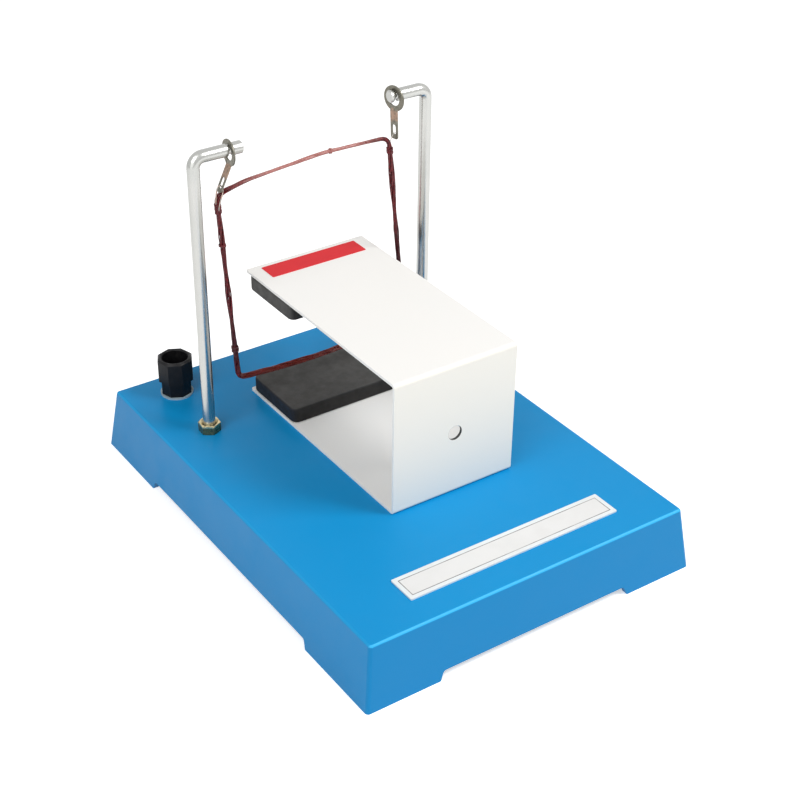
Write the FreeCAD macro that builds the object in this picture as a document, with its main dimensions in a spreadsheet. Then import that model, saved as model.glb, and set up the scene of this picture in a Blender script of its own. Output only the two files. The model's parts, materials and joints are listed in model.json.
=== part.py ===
# Ampere force apparatus for the classroom.
# A wire coil hangs from two bent posts, its lower side between the poles of a lying U magnet.
# Millimetres. X runs to the right, Y from the label to the posts, Z up.
# The origin is the centre of the base, on the table.
import FreeCAD, Part
import Sketcher
import math
import os
import re

doc = FreeCAD.newDocument("ampere_force_apparatus")

# Driving dimensions
sizes = {
    # Base
    "base_width": 148.0,
    "base_depth": 200.0,
    "base_height": 26.5,
    "base_draft": 3.55,
    "base_wall": 2.6,
    "base_corner": 1.4,
    "base_edge": 1.1,
    "foot_height": 3.8,
    "foot_across": 31.0,
    "foot_along": 40.5,
    "foot_slope": 1.6,
    "foot_round": 1.5,
    "rib_depth": 5.0,
    "rib_wall": 1.8,
    "rib_front_margin": 58.0,
    "rib_spacing": 52.0,
    "boss_depth": 2.4,
    "boss_radius": 7.5,
    # Label
    "label_width": 94.0,
    "label_depth": 12.8,
    "label_thickness": 0.6,
    "label_shift": 1.8,
    "label_front_margin": 22.1,
    "label_corner": 0.5,
    # Posts
    "post_side_margin": 22.2,
    "post_rear_margin": 51.0,
    "rod_radius": 2.5,
    "rod_height": 147.4,
    "rod_step": 2.6,
    "rod_bend": 4.0,
    "rod_arm_left": 20.3,
    "rod_arm_right": 17.4,
    "rod_tip": 0.4,
    "rod_below": 8.0,
    "neck_radius": 1.7,
    "neck_width": 2.3,
    "neck_place": 15.0,
    "hole_clearance": 0.15,
    # Nuts, washers and tags
    "post_nut_flats": 8.0,
    "post_nut_height": 4.0,
    "nut_chamfer": 0.5,
    "nut_mouth": 0.9,
    "post_washer_radius": 5.0,
    "post_washer_thickness": 1.0,
    "post_nut_turn": -5.0,
    "binding_nut_flats": 10.0,
    "binding_nut_height": 4.0,
    "lock_washer_radius": 5.3,
    "lock_washer_thickness": 1.0,
    "tag_thickness": 0.5,
    "tag_margin": 2.2,
    "tag_width": 3.4,
    "tag_length": 14.0,
    "tag_wire_hole": 0.8,
    # Binding posts
    "binding_side_margin": 24.7,
    "binding_rear_margin": 18.0,
    "seat_washer_radius": 6.8,
    "seat_washer_thickness": 0.8,
    "collar_flats": 12.0,
    "collar_height": 6.3,
    "cap_flats": 14.0,
    "cap_height": 10.2,
    "cap_recess_radius": 5.4,
    "cap_recess_depth": 6.8,
    "cap_chamfer": 0.8,
    "cap_rim": 0.5,
    "cap_turn": 27.5,
    "insert_radius": 4.0,
    "insert_height": 2.4,
    "stud_radius": 3.0,
    "stud_below": 8.0,
    "stud_stand": 1.4,
    "stud_flange_radius": 4.6,
    "stud_flange_height": 1.2,
    "socket_radius": 2.0,
    "socket_depth": 16.0,
    "socket_mouth": 0.4,
    "wire_hole_radius": 0.9,
    "wire_hole_rise": 1.3,
    "running_clearance": 0.06,
    # Jumper wires
    "jumper_radius": 0.8,
    "jumper_reach": 17.0,
    "jumper_bend": 7.4,
    "solder_gap": 0.1,
    # Yoke and magnets
    "yoke_width": 55.4,
    "yoke_length": 106.0,
    "yoke_height": 57.0,
    "yoke_plate": 1.2,
    "yoke_bend": 0.4,
    "yoke_corner": 1.0,
    "yoke_shift": 5.0,
    "yoke_overhang": 17.2,
    "web_hole_radius": 3.0,
    "web_hole_rise": 27.0,
    "magnet_width": 55.0,
    "magnet_depth": 33.0,
    "magnet_thickness": 7.0,
    "magnet_corner": 3.0,
    "magnet_edge": 1.2,
    "magnet_setback": 1.5,
    "strip_width": 44.0,
    "strip_depth": 9.5,
    "strip_thickness": 0.2,
    "strip_setback": 2.6,
    "strip_corner": 0.4,
    # Hanger lugs
    "lug_thickness": 0.6,
    "lug_ring": 5.2,
    "lug_hole": 3.0,
    "lug_play": 0.1,
    "lug_width": 3.7,
    "lug_drop": 16.0,
    "lug_bend_drop": 5.6,
    "lug_tail_corner": 1.0,
    "lug_slot_length": 4.2,
    "lug_slot_width": 1.9,
    "lug_slot_margin": 1.3,
    "lug_tilt_left": 25.0,
    "lug_tilt_right": 3.0,
    "lug_yaw_left": -3.0,
    "lug_yaw_right": 12.0,
    # Coil
    "coil_radius": 1.15,
    "coil_overhang": 2.35,
    "coil_drop": 19.7,
    "coil_rise": 4.8,
    "coil_gap": 11.9,
    "coil_lean": 6.2,
    "coil_shift": 2.8,
    "coil_crown": 6.8,
    "coil_crown_share": 0.14,
    "coil_corner": 4.0,
    "coil_crown_bend": 1.4,
    "wrap_wire": 0.5,
    "wrap_length": 2.4,
    "wrap_play": 0.03,
    "lead_radius": 0.4,
    "lead_reach": 1.4,
    "lead_tail": 1.5,
    "lead_bend": 0.8,
    "lead_play": 0.05,
}

sheet = doc.addObject("Spreadsheet::Sheet", "Sizes")
for row, (alias, number) in enumerate(sizes.items(), start=1):
    sheet.set(f"A{row}", alias.replace("_", " "))
    sheet.set(f"B{row}", str(number))
    sheet.setAlias(f"B{row}", alias)
doc.recompute()


def formula(text):
    # The same words with the sheet's name before each alias
    return re.sub(r"[a-z_]+", lambda word: f"Sizes.{word[0]}" if word[0] in sizes else word[0], str(text))


def measure(text):
    return float(sheet.evalExpression(formula(text)))


def bind(thing, **places):
    for place, text in places.items():
        thing.setExpression(place, formula(text))


def put(thing, x="0", y="0", z="0", turn="0"):
    # Places a sub-part; turn is about the vertical, in degrees
    axis = FreeCAD.Vector(0, 0, 1)
    thing.Placement = FreeCAD.Placement(FreeCAD.Vector(), FreeCAD.Rotation(axis, measure(turn)))
    for axis_name, text in (("x", x), ("y", y), ("z", z)):
        thing.setExpression(f"Placement.Base.{axis_name}", formula(text))


def new_body(name):
    body = doc.addObject("PartDesign::Body", name)
    body.Label = name
    return body


def new_sketch(body, name, plane, offset=None):
    sketch = body.newObject("Sketcher::SketchObject", name)
    role = f"{plane}_Plane"
    support = [feature for feature in body.Origin.OriginFeatures if feature.Role == role][0]
    sketch.AttachmentSupport = (support, [""])
    sketch.MapMode = "FlatFace"
    if offset is not None:
        sketch.setExpression("AttachmentOffset.Base.z", formula(offset))
    return sketch


def fix_point(sketch, edge, vertex, x, y):
    # Ties one vertex to the sketch's origin by two sizes
    for kind, text in (("DistanceX", x), ("DistanceY", y)):
        distance = measure(text)
        if abs(distance) < 1e-9:
            axis = -2 if kind == "DistanceX" else -1
            sketch.addConstraint(Sketcher.Constraint("PointOnObject", edge, vertex, axis))
            continue
        number = sketch.addConstraint(Sketcher.Constraint(kind, -1, 1, edge, vertex, distance))
        sketch.setExpression(f"Constraints[{number}]", formula(text))


def draw_lines(sketch, points, closed=True):
    # Straight lines through points that are given as pairs of formulas
    spots = [FreeCAD.Vector(measure(x), measure(y), 0) for x, y in points]
    ends = spots[1:] + spots[:1] if closed else spots[1:]
    first = sketch.GeometryCount
    for start, end in zip(spots, ends):
        sketch.addGeometry(Part.LineSegment(start, end), False)
    last = sketch.GeometryCount - 1
    for edge in range(first, last):
        sketch.addConstraint(Sketcher.Constraint("Coincident", edge, 2, edge + 1, 1))
    if closed:
        sketch.addConstraint(Sketcher.Constraint("Coincident", last, 2, first, 1))
    for number, (x, y) in enumerate(points):
        if first + number <= last:
            fix_point(sketch, first + number, 1, x, y)
        else:
            fix_point(sketch, last, 2, x, y)
    return list(range(first, last + 1))


def draw_circle(sketch, x, y, radius):
    centre = FreeCAD.Vector(measure(x), measure(y), 0)
    edge = sketch.addGeometry(Part.Circle(centre, FreeCAD.Vector(0, 0, 1), measure(radius)), False)
    number = sketch.addConstraint(Sketcher.Constraint("Radius", edge, measure(radius)))
    sketch.setExpression(f"Constraints[{number}]", formula(radius))
    fix_point(sketch, edge, 3, x, y)


def round_corner(sketch, before, after, radius):
    # Rounds the corner between two lines of a path and keeps the corner as a fixed point
    lines = (sketch.Geometry[before], sketch.Geometry[after])
    middles = [(line.StartPoint + line.EndPoint) / 2 for line in lines]
    sketch.fillet(before, after, middles[0], middles[1], measure(radius), True, True)
    arc = sketch.GeometryCount - 2
    number = sketch.addConstraint(Sketcher.Constraint("Radius", arc, measure(radius)))
    sketch.setExpression(f"Constraints[{number}]", formula(radius))


def rectangle(width, depth, x="0", y="0"):
    signs = ((-1, -1), (1, -1), (1, 1), (-1, 1))
    return [(f"({x}) + ({width}) * {a} / 2", f"({y}) + ({depth}) * {b} / 2") for a, b in signs]


def polygon(sides, flats, turn=0.0):
    # Corners of a regular polygon by its width across flats
    corner = 0.5 / math.cos(math.pi / sides)
    angles = [math.radians(turn) + 2 * math.pi * (number + 0.5) / sides for number in range(sides)]
    return [(f"({flats}) * {corner * math.cos(a):.9f}", f"({flats}) * {corner * math.sin(a):.9f}")
            for a in angles]


def pad(body, sketch, length, **options):
    feature = body.newObject("PartDesign::Pad", f"{sketch.Name}_pad")
    feature.Profile = sketch
    bind(feature, Length=length)
    for option, choice in options.items():
        setattr(feature, option, choice)
    doc.recompute()
    return feature


def pocket(body, sketch, length=None, **options):
    # A cut that must take something away
    before = body.Tip.Shape.Volume
    feature = body.newObject("PartDesign::Pocket", f"{sketch.Name}_pocket")
    feature.Profile = sketch
    if length is None:
        feature.Type = "ThroughAll"
        feature.Midplane = True
    else:
        bind(feature, Length=length)
    for option, choice in options.items():
        setattr(feature, option, choice)
    doc.recompute()
    if not feature.Shape.Volume < before - 1e-6:
        raise RuntimeError(f"{feature.Name} cuts nothing")
    return feature


def spin(body, sketch, kind="PartDesign::Revolution"):
    # Turns a profile about the vertical through the sub-part's own origin
    feature = body.newObject(kind, f"{sketch.Name}_turn")
    feature.Profile = sketch
    feature.ReferenceAxis = (sketch, ["V_Axis"])
    feature.Angle = 360
    doc.recompute()
    return feature


def blend(body, kind, size, chosen, name):
    # Fillet or Chamfer on the edges that the test picks
    base = body.Tip
    edges = [f"Edge{number}" for number, edge in enumerate(base.Shape.Edges, 1) if chosen(edge)]
    feature = body.newObject(f"PartDesign::{kind}", name)
    feature.Base = (base, edges)
    bind(feature, **{"Radius" if kind == "Fillet" else "Size": size})
    doc.recompute()
    return feature


def level(edge, height, axis="z"):
    # True when the whole edge lies at one height
    low = getattr(edge.BoundBox, f"{axis.upper()}Min")
    high = getattr(edge.BoundBox, f"{axis.upper()}Max")
    return abs(low - height) < 1e-4 and abs(high - height) < 1e-4


def turned(name, points):
    # A ring or shaft: one profile turned about the vertical
    body = new_body(name)
    sketch = new_sketch(body, f"{name}_profile", "XZ")
    draw_lines(sketch, points)
    spin(body, sketch)
    return body


def washer(name, inner, outer, thickness):
    return turned(name, [(inner, "0"), (outer, "0"), (outer, thickness), (inner, thickness)])


def nut(name, flats, height, hole):
    # Hexagon nut with both faces chamfered and a countersunk hole
    body = new_body(name)
    outline = new_sketch(body, f"{name}_hexagon", "XY")
    draw_lines(outline, polygon(6, flats))
    pad(body, outline, height)
    corner = f"({flats}) / 2 / cos(30)"
    rim = new_sketch(body, f"{name}_rims", "XZ")
    for edge, inward in (("0", "nut_chamfer"), (height, f"({height}) - nut_chamfer")):
        draw_lines(rim, [(f"({flats}) / 2", edge), (f"({corner}) + nut_chamfer", edge),
                         (f"({corner}) + nut_chamfer", inward)])
    spin(body, rim, "PartDesign::Groove")
    bore = new_sketch(body, f"{name}_bore", "XZ")
    mouth = f"({hole}) + nut_mouth"
    draw_lines(bore, [("0", "0"), (mouth, "0"), (hole, "nut_mouth"), (hole, f"({height}) - nut_mouth"),
                      (mouth, height), ("0", height)])
    spin(body, bore, "PartDesign::Groove")
    return body


def rounded_path(points, radius):
    # Straight runs joined by tangent arcs
    edges = []
    start = points[0]
    for before, corner, after in zip(points, points[1:], points[2:]):
        back = (before - corner).normalize()
        ahead = (after - corner).normalize()
        half = back.getAngle(ahead) / 2
        reach = radius / math.tan(half)
        entry = corner + back * reach
        leave = corner + ahead * reach
        middle = corner + (back + ahead).normalize() * (radius / math.sin(half) - radius)
        edges.append(Part.LineSegment(start, entry).toShape())
        edges.append(Part.Arc(entry, middle, leave).toShape())
        start = leave
    edges.append(Part.LineSegment(start, points[-1]).toShape())
    return Part.Wire(edges)


def wire_tube(points, radius, bend):
    # A round wire along a path of runs and arcs
    path = rounded_path(points, bend)
    section = Part.Wire(Part.makeCircle(radius, points[0], points[1] - points[0]))
    tube = path.makePipeShell([section], True, False)
    expected = math.pi * radius ** 2 * path.Length
    if abs(tube.Volume - expected) > 0.01 * expected:
        raise RuntimeError("a wire has the wrong volume")
    return tube


def pipe(body, path, section):
    # Carries a section along a path
    feature = body.newObject("PartDesign::AdditivePipe", f"{path.Name}_pipe")
    feature.Profile = section
    feature.Spine = (path, [])
    doc.recompute()
    return feature


# Places that several pieces share
PLATE_UNDER = "base_height - base_wall"
POST_UNDER = "base_height - base_wall - boss_depth"
CAP_SEAT = "seat_washer_thickness + collar_height"
STUD_TOP = f"{CAP_SEAT} + cap_height - cap_recess_depth + stud_stand"
POST_X = "(base_width / 2 - post_side_margin)"
POST_Y = "(base_depth / 2 - post_rear_margin)"
STUD_X = "(base_width / 2 - binding_side_margin)"
STUD_Y = "(base_depth / 2 - binding_rear_margin)"
NECK = f"({POST_X} - neck_place)"
YOKE_REAR = f"({POST_Y} + yoke_overhang)"
SLOT_FLOOR = "(lug_slot_margin - lug_drop)"

# The photographed left post stands a step lower than the right one
ROD_HEIGHTS = {"left": "(rod_height - rod_step)", "right": "(rod_height + rod_step)"}

# The coil below the axis of the posts' arms: its width, and its lower side above the magnet
COIL_WIDTH = f"(2 * ({NECK} + coil_overhang))"
COIL_FOOT = "(base_height + yoke_plate + magnet_thickness + coil_gap - rod_height)"

# Wire sleeves on the coil: the side they are on and how far along it
WRAPS = (
    ("top_left", "foot_left", 0.22),
    ("top_left", "foot_left", 0.5),
    ("top_left", "foot_left", 0.82),
    ("top_right", "foot_right", 0.3),
    ("top_right", "foot_right", 0.7),
    ("foot_left", "foot_right", 0.93),
)


# Base: a drafted plastic shell, open beneath, on four corner feet
def build_base():
    body = new_body("base_shell")
    outline = new_sketch(body, "base_outline", "XY")
    draw_lines(outline, rectangle("base_width", "base_depth"))
    solid = pad(body, outline, "base_height")
    bind(solid, TaperAngle="-atan(base_draft / base_height)")
    doc.recompute()
    upright = measure("base_height / 2")
    blend(body, "Fillet", "base_corner", lambda edge: edge.BoundBox.ZLength > upright, "base_corners")
    top = measure("base_height")
    blend(body, "Fillet", "base_edge", lambda edge: level(edge, top), "base_rim")
    cavity = new_sketch(body, "base_cavity", "XY")
    draw_lines(cavity, rectangle("base_width - 2 * base_wall", "base_depth - 2 * base_wall"))
    hollow = pocket(body, cavity, PLATE_UNDER, Reversed=True)
    bind(hollow, TaperAngle="-atan(base_draft / base_height)")
    doc.recompute()
    cut_feet(body)
    add_ribs(body)
    add_bosses(body)


def cut_feet(body):
    # The walls are cut away between the corner feet, with sloping rounded ends
    for name, plane, span, foot in (("front", "XZ", "base_width", "foot_across"),
                                    ("side", "YZ", "base_depth", "foot_along")):
        notch = new_sketch(body, f"{name}_notch", plane)
        low = f"{span} / 2 - {foot}"
        high = f"{low} - foot_slope"
        draw_lines(notch, [(f"-({low})", "0"), (low, "0"), (high, "foot_height"),
                           (f"-({high})", "foot_height")])
        pocket(body, notch)
    roof = measure("foot_height")
    wall = measure("2 * base_wall")

    def notch_corner(edge):
        return level(edge, roof) and edge.Length < wall

    blend(body, "Fillet", "foot_round", notch_corner, "notch_corners")


def add_ribs(body):
    # Two ribs across and one along stiffen the top plate from below
    rib_level = f"({PLATE_UNDER} - rib_depth) * base_draft / base_height"
    ribs = new_sketch(body, "cross_ribs", "XY", PLATE_UNDER)
    for place in ("rib_front_margin - base_depth / 2", "rib_front_margin + rib_spacing - base_depth / 2"):
        draw_lines(ribs, rectangle(f"base_width - 2 * base_wall - 2 * {rib_level}", "rib_wall", y=place))
    pad(body, ribs, "rib_depth", Reversed=True)
    spine = new_sketch(body, "long_rib", "XY", PLATE_UNDER)
    draw_lines(spine, rectangle("rib_wall", f"base_depth - 2 * base_wall - 2 * {rib_level}"))
    pad(body, spine, "rib_depth", Reversed=True)


def add_bosses(body):
    # A boss and a hole for each post, a plain hole for each binding post
    bosses = new_sketch(body, "post_bosses", "XY", PLATE_UNDER)
    for sign in ("-", ""):
        draw_circle(bosses, f"{sign}{POST_X}", POST_Y, "boss_radius")
    pad(body, bosses, "boss_depth", Reversed=True)
    holes = new_sketch(body, "plate_holes", "XY")
    for sign in ("-", ""):
        draw_circle(holes, f"{sign}{POST_X}", POST_Y, "rod_radius + hole_clearance")
        draw_circle(holes, f"{sign}{STUD_X}", STUD_Y, "stud_radius + hole_clearance")
    pocket(body, holes)


# Label and pole strip: thin plates with rounded corners
def plate(name, width, depth, thickness, corner):
    body = new_body(name)
    outline = new_sketch(body, f"{name}_outline", "XY")
    draw_lines(outline, rectangle(width, depth))
    pad(body, outline, thickness)
    upright = measure(thickness) * 0.99
    blend(body, "Fillet", corner, lambda edge: edge.BoundBox.ZLength > upright, f"{name}_corners")
    return body


# Posts: rods bent inwards at the top, with a turned neck near the end
def build_post(name, sign, side, turn):
    low = f"{POST_UNDER} - rod_below"
    top = ROD_HEIGHTS[side]
    arm_end = f"rod_arm_{side}"
    body = new_body(name)
    path = new_sketch(body, f"{name}_path", "XZ")
    rise, arm = draw_lines(path, [("0", low), ("0", top), (arm_end, top)], closed=False)
    round_corner(path, rise, arm, "rod_bend")
    section = new_sketch(body, f"{name}_section", "XY", low)
    draw_circle(section, "0", "0", "rod_radius")
    pipe(body, path, section)
    neck = new_sketch(body, f"{name}_neck", "XZ")
    inner = "neck_place - neck_width / 2"
    outer = "neck_place + neck_width / 2"
    draw_lines(neck, [(inner, f"{top} + neck_radius"), (outer, f"{top} + neck_radius"),
                      (outer, f"{top} + 2 * rod_radius"), (inner, f"{top} + 2 * rod_radius")])
    axis = draw_lines(neck, [("0", top), (arm_end, top)], closed=False)
    neck.setConstruction(axis[0], True)
    groove = body.newObject("PartDesign::Groove", f"{name}_groove")
    groove.Profile = neck
    groove.ReferenceAxis = (neck, ["Axis0"])
    groove.Angle = 360
    doc.recompute()
    foot = measure(low)
    tip = measure(arm_end)
    blend(body, "Chamfer", "rod_tip", lambda edge: level(edge, foot) or level(edge, tip, "x"), f"{name}_ends")
    put(body, f"{sign}{POST_X}", POST_Y, "0", turn)


# Solder tags: a ring with a flat tail that points to the middle of the base
def tag(name, hole):
    body = new_body(name)
    ring = new_sketch(body, f"{name}_ring", "XY")
    draw_circle(ring, "0", "0", f"{hole} + tag_margin")
    pad(body, ring, "tag_thickness")
    tail = new_sketch(body, f"{name}_tail", "XY")
    draw_lines(tail, rectangle("tag_length", "tag_width", x="tag_length / 2"))
    pad(body, tail, "tag_thickness")
    end = measure("tag_length")
    blend(body, "Fillet", "tag_width / 3", lambda edge: level(edge, end, "x") and edge.BoundBox.ZLength > 0.1,
          f"{name}_tip")
    holes = new_sketch(body, f"{name}_holes", "XY")
    draw_circle(holes, "0", "0", hole)
    draw_circle(holes, "tag_length - tag_width / 2", "0", "tag_wire_hole")
    pocket(body, holes)
    return body


# Binding posts: stud with plug socket, collar, screw cap and its threaded insert
def build_stud(name):
    foot = "-(base_wall + stud_below)"
    flange = "seat_washer_thickness"
    flange_top = "seat_washer_thickness + stud_flange_height"
    socket_floor = f"{STUD_TOP} - socket_depth"
    body = turned(name, [
        ("0", foot), ("stud_radius", foot), ("stud_radius", flange), ("stud_flange_radius", flange),
        ("stud_flange_radius", flange_top), ("stud_radius", flange_top), ("stud_radius", STUD_TOP),
        ("socket_radius + socket_mouth", STUD_TOP), ("socket_radius", f"{STUD_TOP} - socket_mouth"),
        ("socket_radius", socket_floor), ("0", socket_floor)])
    hole = new_sketch(body, f"{name}_wire_hole", "XZ")
    draw_circle(hole, "0", f"{CAP_SEAT} + wire_hole_rise", "wire_hole_radius")
    pocket(body, hole)
    return body


def build_collar(name):
    body = new_body(name)
    outline = new_sketch(body, f"{name}_octagon", "XY")
    draw_lines(outline, polygon(8, "collar_flats"))
    pad(body, outline, "collar_height")
    bore = new_sketch(body, f"{name}_bore", "XZ")
    flange = "stud_flange_radius + running_clearance"
    shaft = "stud_radius + running_clearance"
    draw_lines(bore, [("0", "0"), (flange, "0"), (flange, "stud_flange_height + running_clearance"),
                      (shaft, "stud_flange_height + running_clearance"), (shaft, "collar_height"),
                      ("0", "collar_height")])
    spin(body, bore, "PartDesign::Groove")
    return body


def build_cap(name):
    body = new_body(name)
    outline = new_sketch(body, f"{name}_octagon", "XY")
    draw_lines(outline, polygon(8, "cap_flats"))
    pad(body, outline, "cap_height")
    top = measure("cap_height")
    blend(body, "Chamfer", "cap_chamfer", lambda edge: level(edge, top), f"{name}_rim")
    hollow = new_sketch(body, f"{name}_hollow", "XZ")
    floor = "cap_height - cap_recess_depth"
    nest = "insert_radius + running_clearance"
    shaft = "stud_radius + 2 * running_clearance"
    draw_lines(hollow, [
        ("0", "0"), (nest, "0"), (nest, "insert_height + running_clearance"),
        (shaft, "insert_height + running_clearance"), (shaft, floor), ("cap_recess_radius", floor),
        ("cap_recess_radius", "cap_height - cap_rim"), ("cap_recess_radius + cap_rim", "cap_height"),
        ("0", "cap_height")])
    spin(body, hollow, "PartDesign::Groove")
    return body


# Yoke: a steel strip bent to a U that lies on its side, open to the rear
def build_yoke():
    body = new_body("yoke")
    section = new_sketch(body, "yoke_section", "YZ")
    inside = "yoke_height - yoke_plate"
    draw_lines(section, [
        ("0", "0"), ("yoke_length", "0"), ("yoke_length", "yoke_plate"), ("yoke_plate", "yoke_plate"),
        ("yoke_plate", inside), ("yoke_length", inside), ("yoke_length", "yoke_height"),
        ("0", "yoke_height")])
    pad(body, section, "yoke_width", Midplane=True)
    front = measure("0")
    inner = measure("yoke_plate")
    blend(body, "Fillet", "yoke_bend + yoke_plate",
          lambda edge: level(edge, front, "y") and edge.BoundBox.XLength > 1, "outer_bends")
    blend(body, "Fillet", "yoke_bend", lambda edge: level(edge, inner, "y") and edge.BoundBox.XLength > 1,
          "inner_bends")
    rear = measure("yoke_length")
    blend(body, "Fillet", "yoke_corner", lambda edge: level(edge, rear, "y") and edge.BoundBox.ZLength > 1,
          "arm_corners")
    hole = new_sketch(body, "web_hole", "XZ")
    draw_circle(hole, "0", "web_hole_rise", "web_hole_radius")
    pocket(body, hole)
    put(body, "yoke_shift", f"{YOKE_REAR} - yoke_length", "base_height")


# Magnets: ferrite blocks with rounded corners and edges
def build_magnet(name, height):
    body = plate(name, "magnet_width", "magnet_depth", "magnet_thickness", "magnet_corner")
    bottom = 0.0
    top = measure("magnet_thickness")
    blend(body, "Fillet", "magnet_edge", lambda edge: level(edge, bottom) or level(edge, top),
          f"{name}_edges")
    put(body, "yoke_shift", f"{YOKE_REAR} - magnet_setback - magnet_depth / 2", height)


# Hanger lugs: a flat ring lug, its tail bent a little outwards, with a slot for the wire
def build_lug(name, sign, side, turn):
    ring_centre = "-(lug_hole - neck_radius - lug_play)"
    face = new_body(f"{name}_face")
    ring = new_sketch(face, f"{name}_ring", "YZ")
    draw_circle(ring, "0", ring_centre, "lug_ring")
    pad(face, ring, "2 * lug_drop", Midplane=True)
    tail = new_sketch(face, f"{name}_tail", "YZ")
    shoulder = "lug_ring * 0.9"
    draw_lines(tail, [
        (f"-{shoulder}", f"{ring_centre} - lug_ring * 0.43"), ("-lug_width / 2", "-lug_bend_drop"),
        ("-lug_width / 2", "-lug_drop"), ("lug_width / 2", "-lug_drop"), ("lug_width / 2", "-lug_bend_drop"),
        (shoulder, f"{ring_centre} - lug_ring * 0.43")])
    pad(face, tail, "2 * lug_drop", Midplane=True)
    end = measure("-lug_drop")
    blend(face, "Fillet", "lug_tail_corner",
          lambda edge: level(edge, end) and edge.BoundBox.XLength > 1, f"{name}_tail_corners")
    eye = new_sketch(face, f"{name}_eye", "YZ")
    draw_circle(eye, "0", ring_centre, "lug_hole")
    pocket(face, eye)
    slot = new_sketch(face, f"{name}_slot", "YZ")
    slot_middle = f"{SLOT_FLOOR} + lug_slot_length / 2"
    draw_lines(slot, rectangle("lug_slot_width", "lug_slot_length", y=slot_middle))
    pocket(face, slot)
    low = measure(SLOT_FLOOR)
    high = measure(f"{SLOT_FLOOR} + lug_slot_length")

    def slot_corner(edge):
        return edge.BoundBox.XLength > 1 and (level(edge, low) or level(edge, high))

    blend(face, "Fillet", "lug_slot_width / 2 * 0.98", slot_corner, f"{name}_slot_ends")
    strip = new_body(f"{name}_strip")
    bent = new_sketch(strip, f"{name}_bent", "XZ")
    half = "lug_thickness / 2"
    reach = f"tan(lug_tilt_{side}) * (lug_drop - lug_bend_drop)"
    draw_lines(bent, [
        (f"-{half}", "2 * lug_ring"), (half, "2 * lug_ring"), (half, "-lug_bend_drop"),
        (f"{half} - {reach}", "-lug_drop"), (f"-{half} - {reach}", "-lug_drop"),
        (f"-{half}", "-lug_bend_drop")])
    pad(strip, bent, "3 * lug_ring", Midplane=True)
    lug = doc.addObject("Part::Common", name)
    lug.Label = name
    lug.Base = face
    lug.Tool = strip
    doc.recompute()
    put(lug, f"{sign}{NECK}", POST_Y, ROD_HEIGHTS[side], f"{turn} + lug_yaw_{side}")


# Coil: a bundle of wire in a leaning rectangle, its top side bowed upwards and higher at the right
def coil_corners():
    top = "-coil_drop"
    upper = "coil_shift - coil_lean"
    return {
        "foot": ("coil_shift", COIL_FOOT),
        "foot_right": (f"coil_shift + {COIL_WIDTH} / 2", COIL_FOOT),
        "top_right": (f"{upper} + {COIL_WIDTH} / 2", f"{top} + coil_rise"),
        "crown": (f"{upper} - coil_crown_share * {COIL_WIDTH}", f"{top} + coil_crown"),
        "top_left": (f"{upper} - {COIL_WIDTH} / 2", top),
        "foot_left": (f"coil_shift - {COIL_WIDTH} / 2", COIL_FOOT),
    }


def build_winding():
    body = new_body("coil_winding")
    path = new_sketch(body, "coil_path", "XZ")
    corners = coil_corners()
    runs = draw_lines(path, list(corners.values()))
    crown = f"coil_crown_bend * {COIL_WIDTH}"
    bends = ("coil_corner", "coil_corner", crown, "coil_corner", "coil_corner")
    for before, after, bend in zip(runs, runs[1:], bends):
        round_corner(path, before, after, bend)
    section = new_sketch(body, "coil_section", "YZ", "coil_shift")
    draw_circle(section, "0", COIL_FOOT, "coil_radius")
    pipe(body, path, section)
    put(body, "0", POST_Y, "rod_height")
    return body


def build_wraps():
    # Sleeves of wire turned round the bundle, a share of the way along a side
    corners = coil_corners()
    rings = []
    for number, (near, far, share) in enumerate(WRAPS):
        (x, z), (far_x, far_z) = corners[near], corners[far]
        ring = washer(f"wrap_{number}", "coil_radius + wrap_play", "coil_radius + wrap_play + wrap_wire",
                      "wrap_length")
        run = FreeCAD.Vector(measure(far_x) - measure(x), 0, measure(far_z) - measure(z))
        middle = FreeCAD.Vector(measure(x), 0, measure(z)) + run * share
        start = middle - run.normalize() * measure("wrap_length / 2")
        ring.Placement = FreeCAD.Placement(start, FreeCAD.Rotation(FreeCAD.Vector(0, 0, 1), run))
        rings.append(ring)
    wraps = doc.addObject("Part::Compound", "coil_wraps")
    wraps.Label = "coil_wraps"
    wraps.Links = rings
    doc.recompute()
    put(wraps, "0", POST_Y, "rod_height")


def build_lead(name, sign, side, winding):
    # A bare wire end: up from the bundle, through the slot of the lug and down again
    slot = f"({SLOT_FLOOR} + lead_radius + lead_play)"
    lug_x = f"{sign}({NECK} - tan(lug_tilt_{side}) * ({slot} + lug_bend_drop))"
    x = measure(lug_x)
    z = measure(f"{ROD_HEIGHTS[side]} - rod_height + {slot}")
    reach = measure("lead_reach")
    foot = measure("-(coil_drop + coil_corner)")
    points = [FreeCAD.Vector(x - reach, 0, foot), FreeCAD.Vector(x - reach, 0, z),
              FreeCAD.Vector(x + reach, 0, z), FreeCAD.Vector(x + reach, 0, z - measure("lead_tail"))]
    tube = wire_tube(points, measure("lead_radius"), measure("lead_bend"))
    bundle = winding.Shape.copy()
    bundle.Placement = FreeCAD.Placement()
    free = max(tube.cut(bundle).Solids, key=lambda solid: solid.BoundBox.ZMax)
    lead = doc.addObject("Part::Feature", name)
    lead.Label = name
    lead.Shape = free
    put(lead, "0", POST_Y, "rod_height")


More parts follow.
